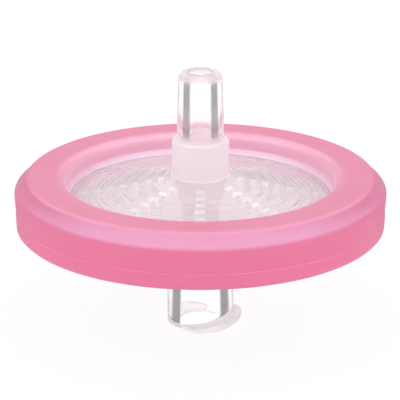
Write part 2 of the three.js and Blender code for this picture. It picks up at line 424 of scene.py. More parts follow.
@dataclass(frozen=True)
class PinkPlastic:
    """Pink polypropylene with a soft sheen, and painted light: pale at the inner edge, lilac on the shoulder.
    """

    name: str = "pink_ring"
    colour: Colour = (0.76, 0.165, 0.300)
    light: Colour = (0.77, 0.190, 0.335)
    # painted light: pale towards the inner edge, for light that glows through the thin plastic and falls on
    # it from the disc
    painted_light: Colour = (1.0, 0.64, 0.77)
    painted_light_inside: float = 0.0121  # fully pale at this radius, metres
    painted_light_outside: float = 0.0138
    painted_sheen: Colour = (0.68, 0.175, 0.325)  # painted sheen: a less red, lilac colour on the shoulder, where the gloss from above falls
    shoulder_radii: Span = (0.0158, 0.0164)  # over which the painted sheen sets in, metres
    shoulder_heights: Span = (0.0127, 0.0135)
    roughness: float = 0.30
    roughness_spread: float = 0.04
    sheen: Colour = (0.0, 0.95, 1.0)  # tint of the gloss, which turns it lilac
    glow: float = 0.35  # share of the light that spreads inside
    glow_reach: Colour = (0.0022, 0.0009, 0.0011)  # how far red, green and blue spread, metres
    cloud_size: float = 0.006  # of the slow variation, metres
    grain_size: float = 0.00025
    grain: float = 0.000004  # depth, metres

    def build(self) -> bpy.types.Material:
        """Makes the material.

        Returns:
            The material.
        """
        material = bpy.data.materials.new(self.name)
        graph = Graph(material)
        place = graph.node("ShaderNodeTexCoord")["Object"]
        cloud = graph.noise(place, self.cloud_size)
        parts = graph.node("ShaderNodeSeparateXYZ", {}, {0: place})
        x, y, height = parts.value("X"), parts.value("Y"), parts.value("Z")
        radius = (x * x + y * y).root()
        # where the painted sheen lies, on the shoulder
        shoulder = radius.ramp(*self.shoulder_radii) * height.ramp(*self.shoulder_heights)
        # painted light, paler towards the inner edge
        painted_light = radius.ramp(self.painted_light_outside, self.painted_light_inside, smooth=False)
        body = graph.mix_colours(cloud, self.colour, self.light)
        body = graph.mix_colours(shoulder, body, self.painted_sheen)
        inputs = {
            "Base Color": graph.mix_colours(painted_light * painted_light, body, self.painted_light),
            "Roughness": self.roughness + self.roughness_spread * (cloud - 0.5),
            "IOR": PLASTIC_IOR,
            "Subsurface Weight": self.glow,
            "Subsurface Radius": self.glow_reach,
            "Subsurface Scale": 1.0,
            "Specular Tint": self.sheen,
            "Normal": graph.bump(graph.noise(place, self.grain_size), self.grain),
        }
        shader = graph.node("ShaderNodeBsdfPrincipled", {}, inputs)["BSDF"]
        graph.node("ShaderNodeOutputMaterial", {}, {"Surface": shader})
        return material


@dataclass(frozen=True)
class MembraneFilm:
    """Matt white filter membrane."""

    name: str = "membrane"
    colour: Colour = (0.97, 0.885, 0.915)
    shade: Colour = (0.84, 0.76, 0.79)
    through: float = 0.25  # share of the light that it lets through
    roughness: float = 0.85
    roughness_spread: float = 0.1
    fibre_size: float = 0.00012  # metres
    fibre_depth: float = 0.00001

    def build(self) -> bpy.types.Material:
        """Makes the material.

        Returns:
            The material.
        """
        material = bpy.data.materials.new(self.name)
        graph = Graph(material)
        place = graph.node("ShaderNodeTexCoord")["Object"]
        fibre = graph.noise(place, self.fibre_size, detail=4.0)
        inputs = {
            "Base Color": graph.mix_colours(fibre, self.shade, self.colour),
            "Roughness": self.roughness + self.roughness_spread * fibre,
            "Normal": graph.bump(fibre, self.fibre_depth),
        }
        shader = graph.node("ShaderNodeBsdfPrincipled", {}, inputs)["BSDF"]
        glow = graph.node("ShaderNodeBsdfTranslucent", {}, {"Color": self.colour})["BSDF"]
        shader = graph.mix_shaders(self.through, shader, glow)
        graph.node("ShaderNodeOutputMaterial", {}, {"Surface": shader})
        return material


class Skin(Enum):
    """Which finish a band of a turned piece takes."""

    POLISHED = 0
    FROSTED = 1
    SATIN = 2
    BORE = 3
    CLEAR = 4
    # whiter haze where a channel cuts a ridge: painted glints
    MARKS = 5


Finishes = dict[Skin, bpy.types.Material]


# ---- Turned meshes ----


@dataclass(frozen=True)
class Corner:
    """A corner of a section, in millimetres."""

    radius: float
    height: float
    fillet: float = 0.0
    skin: Skin = Skin.POLISHED
    bypass: float | None = None  # height that it takes inside a channel or between ribs
    warped: bool = False  # lines of the mesh follow the channels or ribs here


class Section:
    """A closed outline in the radius-height plane, with rounded corners."""

    ARC_STEPS = 5
    ROOM = 0.96  # most of the room beside a corner that its arc takes
    SUPPORT = 0.35  # distance of the support points beside an arc, as a share of the arc's reach
    SUPPORT_ROOM = 0.4  # most of the room left beside an arc that this distance takes

    def __init__(self, corners: list[Corner], closed: bool = True) -> None:
        """Keeps the corners, in order round the outline."""
        self.corners = corners
        self.closed = closed

    def stations(self) -> list[Corner]:
        """Gives the outline's points, with an arc at each corner that has a fillet.

        Returns:
            The points, in order round the outline.
        """
        points: list[Corner] = []
        for i, corner in enumerate(self.corners):
            if corner.fillet > 0:
                points += self._arc(self.corners[i - 1], corner, self.corners[(i + 1) % len(self.corners)])
            else:
                points.append(corner)
        return points

    def _arc(self, before: Corner, corner: Corner, after: Corner) -> list[Corner]:
        """Replaces one corner by an arc with a support point at each side.

        Args:
            before: the corner before it.
            corner: the corner with a fillet.
            after: the corner after it.

        Returns:
            The points of the arc and the two support points.
        """
        here = np.array([corner.radius, corner.height])
        back = np.array([before.radius, before.height]) - here
        ahead = np.array([after.radius, after.height]) - here
        back_length, ahead_length = np.linalg.norm(back), np.linalg.norm(ahead)
        back, ahead = back / back_length, ahead / ahead_length
        half = math.acos(max(-1.0, min(1.0, float(back @ ahead)))) / 2
        back_room = back_length * corner.fillet / (corner.fillet + before.fillet)
        ahead_room = ahead_length * corner.fillet / (corner.fillet + after.fillet)
        reach = min(corner.fillet / math.tan(half), self.ROOM * back_room, self.ROOM * ahead_room)
        radius = reach * math.tan(half)
        middle = back + ahead
        centre = here + middle / np.linalg.norm(middle) * (radius / math.sin(half))
        start, end = here + back * reach, here + ahead * reach
        first = math.atan2(*(start - centre)[::-1])
        sweep = math.remainder(math.atan2(*(end - centre)[::-1]) - first, math.tau)
        spots = [start + back * min(self.SUPPORT * reach, self.SUPPORT_ROOM * (back_room - reach))]
        for i in range(self.ARC_STEPS + 1):
            angle = first + sweep * i / self.ARC_STEPS
            spots.append(centre + radius * np.array([math.cos(angle), math.sin(angle)]))
        spots.append(end + ahead * min(self.SUPPORT * reach, self.SUPPORT_ROOM * (ahead_room - reach)))
        skins = [before.skin] + [corner.skin] * (len(spots) - 1)
        return [Corner(float(r), float(z), skin=s, warped=corner.warped) for (r, z), s in zip(spots, skins)]


@dataclass(frozen=True)
class Sectors:
    """Lines of a turned mesh, which may follow parallel-sided channels or ribs."""

    count: int  # channels or ribs in a turn
    lines: int  # lines of the mesh in each sector
    first: float = 0.0  # direction of the first middle line, degrees
    offsets: tuple[float, ...] = ()  # half widths that lines follow, from the middle out, millimetres
    knots: tuple[int, ...] = ()  # lines from the middle at which those half widths lie
    least_radius: float = 1.0  # inside this radius the lines run straight to the axis, millimetres

    def angles(self, radius: float, warped: bool) -> Array:
        """Gives each line's angle at a radius.

        Args:
            radius: the radius, in millimetres.
            warped: the lines follow the channels or ribs.

        Returns:
            The angles, in radians.
        """
        step = math.tau / (self.count * self.lines)
        local = (np.arange(self.lines) - self.lines // 2) * step
        if warped:
            reach = max(radius, self.least_radius)
            ends = [k * step for k in self.knots]
            sides = [math.asin(min(1.0, o / reach)) for o in self.offsets]
            half = self.lines // 2 * step
            source = [-half, *[-e for e in reversed(ends)], 0.0, *ends, half]
            target = [-half, *[-s for s in reversed(sides)], 0.0, *sides, half]
            local = np.interp(local, source, target)
        middles = np.radians(self.first) + math.tau * np.arange(self.count) / self.count
        return (middles[:, None] + local[None, :]).ravel()

    def offset(self, radius: Array, angle: Array) -> Array:
        """Gives the distance of points from the nearest middle line.

        Args:
            radius: radius of each point, in millimetres.
            angle: angle of each point, in radians.

        Returns:
            The distances, in millimetres.
        """
        sector = math.tau / self.count
        local = (angle - np.radians(self.first) + sector / 2) % sector - sector / 2
        return np.abs(radius * np.sin(local))


Shape = Callable[[Array, Array, Array, Array], tuple[Array, Array]]
Dress = Callable[[Array, Array], Array]


@dataclass
class TurnedPiece:
    """A closed mesh whose rings of points follow a section round the Z axis.

    shape changes the points: it takes each point's radius, height, bypass and angle,
    and gives its radius and height. dress changes the skins of the faces: it takes
    each face's skin and the place of its middle, and gives its skin.
    """

    SHARP_ANGLE = 32.0  # degrees between faces whose common edge stays sharp

    name: str
    section: Section
    sectors: Sectors
    shape: Shape | None = None
    dress: Dress | None = None

    def mesh(self, finishes: Finishes) -> bpy.types.Object:
        """Builds the mesh object, in metres.

        Args:
            finishes: the material of each skin that the piece has.

        Returns:
            The object.
        """
        stations = self.section.stations()
        points = self._points(stations)
        faces, skins = self._faces(stations)
        if self._volume(points, faces) < 0:
            faces = [face[::-1] for face in faces]
        data = bpy.data.meshes.new(self.name)
        data.from_pydata(points.tolist(), [], faces)
        slots = np.zeros(len(Skin), dtype=int)
        for slot, (skin, material) in enumerate(finishes.items()):
            data.materials.append(material)
            slots[skin.value] = slot
        if self.dress is not None:
            middles = np.array([points[list(face)].mean(axis=0) for face in faces]) / MM
            skins = self.dress(skins, middles)
        data.polygons.foreach_set("material_index", slots[skins].tolist())
        data.shade_smooth()
        data.set_sharp_from_angle(angle=math.radians(self.SHARP_ANGLE))
        data.update()
        return add_object(self.name, data)

    def _points(self, stations: list[Corner]) -> Array:
        """Gives the points of the mesh.

        Args:
            stations: points of the section.

        Returns:
            The points, ring by ring and in metres, and a last two at an open section's ends.
        """
        angle = np.array([self.sectors.angles(s.radius, s.warped) for s in stations])
        lines = angle.shape[1]
        radius = np.repeat([[s.radius] for s in stations], lines, axis=1)
        height = np.repeat([[s.height] for s in stations], lines, axis=1)
        if self.shape is not None:
            bypass = [[s.height if s.bypass is None else s.bypass] for s in stations]
            radius, height = self.shape(radius, height, np.repeat(bypass, lines, axis=1), angle)
        points = np.stack([radius * np.cos(angle), radius * np.sin(angle), height], axis=-1)
        points = points.reshape(-1, 3) * MM
        if not self.section.closed:
            points = np.vstack([points, [[0, 0, s.height * MM] for s in (stations[0], stations[-1])]])
        return points

    def _faces(self, stations: list[Corner]) -> tuple[list[tuple[int, ...]], Array]:
        """Gives the faces between rings, and a fan at each end of an open section.

        Args:
            stations: points of the section.

        Returns:
            The faces, and the number of each one's skin.
        """
        lines, count = self.sectors.count * self.sectors.lines, len(stations)
        faces: list[tuple[int, ...]] = []
        skins: list[int] = []
        for i in range(count if self.section.closed else count - 1):
            row, after = i * lines, (i + 1) % count * lines
            for j in range(lines):
                k = (j + 1) % lines
                faces.append((row + j, row + k, after + k, after + j))
            skins.extend([stations[i].skin.value] * lines)
        if not self.section.closed:
            last = (count - 1) * lines
            for j in range(lines):
                k = (j + 1) % lines
                faces.append((k, j, count * lines))
                faces.append((last + j, last + k, count * lines + 1))
            skins.extend([stations[0].skin.value, stations[-1].skin.value] * lines)
        return faces, np.array(skins)

    @staticmethod
    def _volume(points: Array, faces: list[tuple[int, ...]]) -> float:
        """Gives the volume inside the faces, which is negative where they face inwards.

        Args:
            points: the mesh's points.
            faces: its faces, of three or four points.

        Returns:
            The volume.
        """
        total = 0.0
        for face in faces:
            a, b, c = points[face[0]], points[face[1]], points[face[2]]
            total += float(a @ np.cross(b, c))
            if len(face) == 4:
                total += float(a @ np.cross(c, points[face[3]]))
        return total / 6


def eased(share: Array) -> Array:
    """Smooth step of a share from 0 to 1."""
    share = np.clip(share, 0.0, 1.0)
    return share * share * (3 - 2 * share)


# ---- Pieces ----


@dataclass(frozen=True)
class Levels:
    """Heights and radii that the pieces share, in millimetres, from the frame."""

    inlet_end: float
    floor_under: float
    membrane_under: float
    parting: float
    ring_under: float
    crest: float
    tip: float
    housing: float
    membrane: float

    @classmethod
    def from_frame(cls, recess: float) -> "Levels":
        """Reads the frame's boxes.

        Args:
            recess: height from the ring's underside up to the inlet disc's.

        Returns:
            The heights and radii.
        """
        inlet_low, inlet_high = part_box("inlet_housing")
        film_low, film_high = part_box("membrane")
        ring_low, ring_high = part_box("sealing_ring")
        outlet_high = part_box("outlet_housing")[1]
        return cls(
            inlet_end=inlet_low.z / MM,
            floor_under=ring_low.z / MM + recess,
            membrane_under=film_low.z / MM,
            parting=film_high.z / MM,
            ring_under=ring_low.z / MM,
            crest=ring_high.z / MM,
            tip=outlet_high.z / MM,
            housing=inlet_high.x / MM,
            membrane=film_high.x / MM,
        )


@dataclass(frozen=True)
class Lug:
    """One locking lug: a short stretch of thread between two directions, in degrees."""

    start: float
    end: float
    top: float  # crest's upper edge above the end face, at the start, in millimetres


@dataclass
class InletHousing:
    """Disc under the membrane, with the female inlet tube and its lugs. Millimetres."""

    levels: Levels
    floor: float = 0.75  # thickness of the disc under the ribs
    rim: float = 0.55  # from the membrane's pocket out
    clamp: float = 1.45  # width of the ledge under the membrane's edge
    lower_edge: float = 0.08
    fine_edge: float = 0.03
    under_rings: tuple[float, ...] = (6.0, 10.0)  # of the mesh, under the disc
    tube: float = 3.1
    tube_fillet: float = 0.5
    tube_top: float = 1.0  # from the tube's last ring of the mesh up to the disc
    tube_rings: int = 4
    mouth: float = 2.15
    mouth_chamfer: float = 0.12
    mouth_inner_edge: float = 0.04
    mouth_outer_edge: float = 0.02
    taper: float = 0.03  # of a radius, to a unit of height
    bore_depth: float = 9.0
    bore_edge: float = 0.1
    bore_rings: Run = (0.9, 0.1, 9)  # shares of the bore's depth
    passage: float = 1.0
    passage_edge: float = 0.05
    funnel: float = 0.5
    edge: float = 0.06  # rounding of the lower edge of tube and lugs
    lug_reach: float = 0.77  # from the tube to the crest
    lug_crest: float = 0.7
    lug_slope: float = 2.6  # fall of the flanks, to a unit of height
    lug_end_slope: float = 1.5  # fall past the ends, to a degree
    lug_lead: float = 3.6
    lug_ahead: float = 60.0  # degrees before a lug's start that are measured back from it
    lug_flat: float = 2.9  # from the axis to the flats that cut the lugs
    lug_azimuth: float = -55.0
    lug_blend: float = 0.05  # rounding where a lug meets the tube
    lug_skin: Span = (0.06, 0.1)  # lug's finish from this far off the tube to this far past the crest
    lugs: tuple[Lug, ...] = (Lug(-126.0, -3.0, 0.10), Lug(76.0, 140.0, 0.32))
    lug_zone: float = 2.6
    lug_step: float = 0.06
    rib_count: int = 16
    rib_lines: int = 24
    rib_knots: tuple[int, ...] = (3, 4)
    rib_width: float = 0.5
    rib_draft: float = 0.06
    rib_inner: float = 2.6
    rib_inner_foot: float = 0.3  # from the ribs to the floor's next ring of the mesh
    rib_end: float = 0.8
    rib_lean: float = 0.08
    rib_rings: int = 7
    rib_gap: float = 0.005  # under the membrane

    def sectors(self) -> Sectors:
        """Gives the lines of the mesh, which follow the spreader ribs on the floor.

        Returns:
            The lines.
        """
        half = self.rib_width / 2
        sides, first = (half, half + self.rib_draft), 180 / self.rib_count
        return Sectors(self.rib_count, self.rib_lines, first, sides, self.rib_knots, self.rib_inner)

    def section(self) -> Section:
        """Gives the outline.

        Returns:
            The outline, from the mouth out, up and back down the bore.
        """
        lv = self.levels
        under, top, floor = lv.floor_under, lv.parting, lv.floor_under + self.floor
        pocket = lv.housing - self.rim
        plenum = pocket - self.clamp
        zone_top = lv.inlet_end + self.lug_zone
        steps = round(self.lug_zone / self.lug_step)
        outer = [Corner(self.tube, lv.inlet_end)]
        outer += [Corner(self.tube, lv.inlet_end + self.lug_zone * (i + 1) / steps) for i in range(steps)]
        above = np.linspace(zone_top, under - self.tube_top, self.tube_rings + 1)[1:]
        outer += [Corner(self.tube, z) for z in above]
        foot = [Corner(self.tube, under, self.tube_fillet), *[Corner(r, under) for r in self.under_rings]]
        rim = [
            Corner(lv.housing, under, self.lower_edge),
            Corner(lv.housing, top, self.fine_edge),
            Corner(pocket, top, self.fine_edge),
            Corner(pocket, lv.membrane_under),
            Corner(plenum, lv.membrane_under, self.fine_edge),
            Corner(plenum, floor),
        ]
        inside = [
            Corner(self.rib_inner - self.rib_inner_foot, floor),
            Corner(self.passage, floor, self.passage_edge),
        ]
        return Section(outer + foot + rim + self._rib_corners(plenum, floor) + inside + self._bore_corners())

    def _rib_corners(self, plenum: float, floor: float) -> list[Corner]:
        """Gives the floor's corners where the ribs stand.

        Args:
            plenum: radius of the space under the membrane.
            floor: height of the floor between the ribs.

        Returns:
            The corners, from the outside in.
        """
        top = self.levels.membrane_under - self.rib_gap
        outer, inner = plenum - self.rib_end, self.rib_inner
        corners = [Corner(outer + self.rib_lean, floor, warped=True)]
        for radius in np.linspace(outer, inner, self.rib_rings):
            corners.append(Corner(float(radius), top, bypass=floor, warped=True))
        corners.append(Corner(inner - self.rib_lean, floor, warped=True))
        return corners

    def _bore_corners(self) -> list[Corner]:
        """Gives the corners of the bore and its mouth.

        Returns:
            The corners, from the passage down.
        """
        end, step = self.levels.inlet_end, self.mouth_chamfer
        start = end + self.bore_depth
        narrow = self.mouth - self.taper * self.bore_depth
        corners = [
            Corner(self.passage, start + self.funnel, self.bore_edge, Skin.BORE),
            Corner(narrow, start, self.bore_edge, Skin.BORE),
        ]
        for share in np.linspace(*self.bore_rings):
            height = self.bore_depth * share
            corners.append(Corner(self.mouth - self.taper * height, end + height, skin=Skin.BORE))
        inner = self.mouth - self.taper * step
        corners.append(Corner(inner, end + step, self.mouth_inner_edge, Skin.SATIN))
        corners.append(Corner(self.mouth + step, end, self.mouth_outer_edge, Skin.SATIN))
        return corners

    def lug_surface(self, angle: Array, height: Array) -> Array:
        """Gives the radius that the lugs reach.

        Args:
            angle: angle of each point, in radians.
            height: height of each point.

        Returns:
            The radius at each point, which is low where there is no lug.
        """
        degrees = np.degrees(angle)
        crest = self.tube + self.lug_reach
        best = np.zeros(angle.shape)
        for lug in self.lugs:
            turn = (degrees - lug.start + self.lug_ahead) % 360 - self.lug_ahead
            middle = lug.top - self.lug_crest / 2 + self.lug_lead * turn / 360
            off = np.abs(height - self.levels.inlet_end - middle) - self.lug_crest / 2
            flank = np.minimum(crest - self.lug_slope * off, crest)
            past = np.maximum(-turn, turn - (lug.end - lug.start))
            flank = np.where(past > 0, flank - past * self.lug_end_slope, flank)
            best = np.maximum(best, flank)
        across = np.abs(np.sin(angle - math.radians(self.lug_azimuth)))
        return np.minimum(best, self.lug_flat / np.maximum(across, NEAR))

    def shape(self, radius: Array, height: Array, bypass: Array, angle: Array) -> tuple[Array, Array]:
        """Adds the lugs to the tube, and lowers the floor between the ribs.

        Args:
            radius: radius of each point.
            height: height of each point.
            bypass: its height between ribs.
            angle: its angle, in radians.

        Returns:
            The new radius and height of each point.
        """
        zone = self.levels.inlet_end + self.lug_zone + self.edge
        on_tube = (np.abs(radius - self.tube) < NEAR) & (height < zone)
        soft = self.lug_blend
        gap = self.lug_surface(angle, height) - radius
        rounded = radius + (gap + np.sqrt(gap * gap + soft * soft)) / 2 - soft * soft / 4
        wide = np.where(on_tube, np.maximum(rounded, radius), radius)
        low = np.clip(1 - (height - self.levels.inlet_end) / self.edge, 0, 1)
        wide = np.where(on_tube, wide - self.edge * (1 - np.sqrt(1 - low * low)), wide)
        side = self.sectors().offset(radius, angle) - self.rib_width / 2
        rib = 1 - eased(side / self.rib_draft)
        return wide, bypass + (height - bypass) * rib

    def dress(self, skins: Array, middles: Array) -> Array:
        """Gives the lugs their own finish.

        Args:
            skins: skin of each face.
            middles: its middle.

        Returns:
            The new skin of each face.
        """
        radius = np.hypot(middles[:, 0], middles[:, 1])
        low, high = self.tube + self.lug_skin[0], self.tube + self.lug_reach + self.lug_skin[1]
        on_tube = np.arange(len(skins)) < self.tube_faces()
        return np.where((radius > low) & (radius < high) & on_tube, Skin.SATIN.value, skins)

    def tube_faces(self) -> int:
        """Counts the faces of the zone that the lugs may take, which come first."""
        return (round(self.lug_zone / self.lug_step) + 1) * self.rib_count * self.rib_lines

    def build(self, finishes: Finishes) -> bpy.types.Object:
        """Makes the piece, in the finishes of its skins."""
        parts = (self.section(), self.sectors(), self.shape, self.dress)
        return TurnedPiece("inlet_housing_moulding", *parts).mesh(finishes)


@dataclass
class OutletHousing:
    """Ridged roof over the membrane, with the hub and the male taper. Millimetres."""

    ARC_MIDDLE = 0.3  # distance of a quarter arc's middle from the arc's box, as a share of its radius

    levels: Levels
    flange: float = 0.55
    land: float = 0.2
    clamp: float = 2.0  # rim and clamped annulus together
    window: float = 12.1
    cone_rise: float = 1.9
    roof: float = 0.65
    roof_rings: int = 12
    under_ring: float = 0.1  # from the hub's radius in, to the underside's first ring of the mesh
    rim_foot_edge: float = 0.02
    rim_edge: float = 0.03
    hub: float = 2.65
    hub_height: float = 3.5
    hub_foot_edge: float = 0.1
    hub_fillet: float = 0.4
    hub_ends: Span = (0.5, 0.7)  # from foot and top to the hub's first and last rings of the mesh
    hub_rings: int = 5
    tip_length: float = 6.35
    tip: float = 2.0
    tip_fillet: float = 0.6
    tip_foot_edge: float = 0.12
    tip_rings: Run = (0.08, 0.85, 10)  # shares of the tip's length
    taper: float = 0.03
    lumen: float = 1.1
    lumen_draft: float = 0.015
    lumen_edge: float = 0.06
    lumen_ends: float = 0.5  # from its ends to its first and last rings of the mesh
    lumen_rings: int = 14
    channel_count: int = 8
    channel_lines: int = 32
    channel_first: float = -90.0
    channel_width: float = 0.85
    channel_draft: float = 0.13
    channel_sides: tuple[float, ...] = (0.0, 0.1, 0.16)  # lines of the mesh, from the channel's side
    channel_knots: tuple[int, ...] = (3, 5, 6)
    glint_width: float = 0.16  # of a painted glint, from the channel's side
    ridge_pitch: float = 1.17
    ridge_width: float = 0.55
    first_ridge: float = 3.33
    ridge_gap: float = 0.01  # over the membrane
    ridge_edge: float = 0.07
    ridge_edge_share: float = 0.35  # most of a ridge's depth that its edge takes
    draft: float = 0.05
    least: float = 0.02  # lean of a ridge's side, and depth that its edge is worked out from

    def sectors(self) -> Sectors:
        """Gives the lines of the mesh, which follow the radial channels.

        Returns:
            The lines.
        """
        sides = tuple(self.channel_width / 2 + side for side in self.channel_sides)
        lines = (self.channel_count, self.channel_lines, self.channel_first)
        return Sectors(*lines, sides, self.channel_knots, self.hub)

    def top(self, radius: float) -> float:
        """Height of the conical roof's upper face."""
        edge = self.levels.parting + self.flange + self.land
        return edge + self.cone_rise * (self.window - radius) / (self.window - self.hub)

    def under(self, radius: float) -> float:
        """Height of the roof's lower face, between the ridges."""
        return self.top(min(max(radius, self.hub), self.window)) - self.roof

    def _ridge_corners(self) -> list[Corner]:
        """Gives the corners of the ridged underside.

        Returns:
            The corners, from the hub out.
        """
        foot = self.levels.parting + self.ridge_gap
        corners = []
        inner = self.first_ridge
        while inner + self.ridge_width <= self.window + NEAR:
            outer = inner + self.ridge_width
            depth = self.under(inner) - foot
            lean = max(self.least, self.draft * depth)
            fillet = min(self.ridge_edge, self.ridge_edge_share * max(depth, self.least))
            middle = self.ARC_MIDDLE * fillet
            corners.append(Corner(inner - lean, self.under(inner - lean), skin=Skin.CLEAR, warped=True))
            for radius, lift in (
                (inner, fillet),
                (inner + middle, middle),
                (inner + fillet, 0.0),
                (outer - fillet, 0.0),
                (outer - middle, middle),
                (outer, fillet),
            ):
                corners.append(Corner(radius, foot + lift, 0.0, Skin.CLEAR, self.under(radius), warped=True))
            corners.append(Corner(outer + lean, self.under(outer + lean), skin=Skin.CLEAR, warped=True))
            inner += self.ridge_pitch
        return corners

    def section(self) -> Section:
        """Gives the outline.

        Returns:
            The outline, from the lumen's foot out, up and back down the lumen.
        """
        lv, hub_under = self.levels, self.under(self.hub)
        flange_top = lv.parting + self.flange
        plenum = lv.housing - self.clamp
        wide = self.lumen + self.lumen_draft * (lv.tip - hub_under)
        under = [
            Corner(wide, hub_under, self.lumen_edge, Skin.CLEAR),
            Corner(self.hub - self.under_ring, hub_under, skin=Skin.CLEAR),
            *self._ridge_corners(),
        ]
        rim = [
            Corner(plenum, self.under(self.window), skin=Skin.CLEAR),
            Corner(plenum, lv.parting, self.rim_foot_edge, Skin.CLEAR),
            Corner(lv.housing, lv.parting, self.rim_edge, Skin.CLEAR),
            Corner(lv.housing, flange_top, self.rim_edge, Skin.CLEAR),
            Corner(self.window, flange_top, skin=Skin.SATIN),
            Corner(self.window, self.top(self.window), skin=Skin.SATIN),
        ]
        radii = np.linspace(self.window, self.hub, self.roof_rings)[1:-1]
        roof = [Corner(r, self.top(r), skin=Skin.SATIN) for r in radii]
        return Section(under + rim + roof + self._hub_corners() + self._tip_corners())

    def _hub_corners(self) -> list[Corner]:
        """Gives the corners of the hub.

        Returns:
            The corners, from its foot to the tip's.
        """
        foot = self.top(self.hub)
        top = foot + self.hub_height
        heights = np.linspace(foot + self.hub_ends[0], top - self.hub_ends[1], self.hub_rings)
        return [
            Corner(self.hub, foot, self.hub_foot_edge, Skin.FROSTED),
            *[Corner(self.hub, z, skin=Skin.FROSTED) for z in heights],
            Corner(self.hub, top, self.hub_fillet, Skin.FROSTED),
            Corner(self.tip + self.taper * self.tip_length, top, self.tip_foot_edge, Skin.FROSTED),
        ]

    def _tip_corners(self) -> list[Corner]:
        """Gives the corners of the tip and its lumen.

        Returns:
            The corners, from the tip's foot up and down the lumen.
        """
        end = self.levels.tip
        corners = []
        for share in np.linspace(*self.tip_rings):
            length = self.tip_length * (1 - share)
            corners.append(Corner(self.tip + self.taper * length, end - length))
        corners.append(Corner(self.tip, end, self.tip_fillet, Skin.FROSTED))
        corners.append(Corner(self.lumen, end, self.lumen_edge, Skin.BORE))
        foot = self.under(self.hub)
        for z in np.linspace(end - self.lumen_ends, foot + self.lumen_ends, self.lumen_rings):
            corners.append(Corner(self.lumen + self.lumen_draft * (end - z), float(z), skin=Skin.BORE))
        return corners

    def shape(self, radius: Array, height: Array, bypass: Array, angle: Array) -> tuple[Array, Array]:
        """Cuts the channels through the ridges: bypass is each point's height inside a channel."""
        side = self.sectors().offset(radius, angle) - self.channel_width / 2
        return radius, bypass + (height - bypass) * eased(side / self.channel_draft)

    def dress(self, skins: Array, middles: Array) -> Array:
        """Gives the places where a channel cuts a ridge the whiter finish of the painted glints.

        Args:
            skins: skin of each face.
            middles: its middle.

        Returns:
            The new skin of each face.
        """
        radius, angle = np.hypot(middles[:, 0], middles[:, 1]), np.arctan2(middles[:, 1], middles[:, 0])
        side = self.sectors().offset(radius, angle) - self.channel_width / 2
        on_ridge = (radius - self.first_ridge) % self.ridge_pitch < self.ridge_width
        cut = (radius > self.first_ridge) & (radius < self.window) & on_ridge & (side < self.glint_width)
        return np.where(cut & (skins == Skin.CLEAR.value), Skin.MARKS.value, skins)

    def build(self, finishes: Finishes) -> bpy.types.Object:
        """Makes the piece, in the finishes of its skins."""
        parts = (self.section(), self.sectors(), self.shape, self.dress)
        return TurnedPiece("outlet_housing_moulding", *parts).mesh(finishes)


@dataclass
class Membrane:
    """Filter disc, gripped at its edge. Millimetres."""

    levels: Levels
    play: float = 0.004
    edge: float = 0.03
    inner_ring: float = 1.0
    outer_ring: float = 0.3  # from the edge in
    rings: int = 10
    sectors: Sectors = Sectors(16, 12)

    def build(self, finishes: Finishes) -> bpy.types.Object:
        """Makes the piece.

        Args:
            finishes: the finish of its one skin.

        Returns:
            The piece.
        """
        reach = self.levels.membrane
        low, high = self.levels.membrane_under + self.play, self.levels.parting - self.play
        radii = np.linspace(self.inner_ring, reach - self.outer_ring, self.rings)
        corners = [Corner(float(r), low) for r in radii]
        corners += [Corner(reach, low, self.edge), Corner(reach, high, self.edge)]
        corners += [Corner(float(r), high) for r in radii[::-1]]
        return TurnedPiece("membrane_disc", Section(corners, closed=False), self.sectors).mesh(finishes)


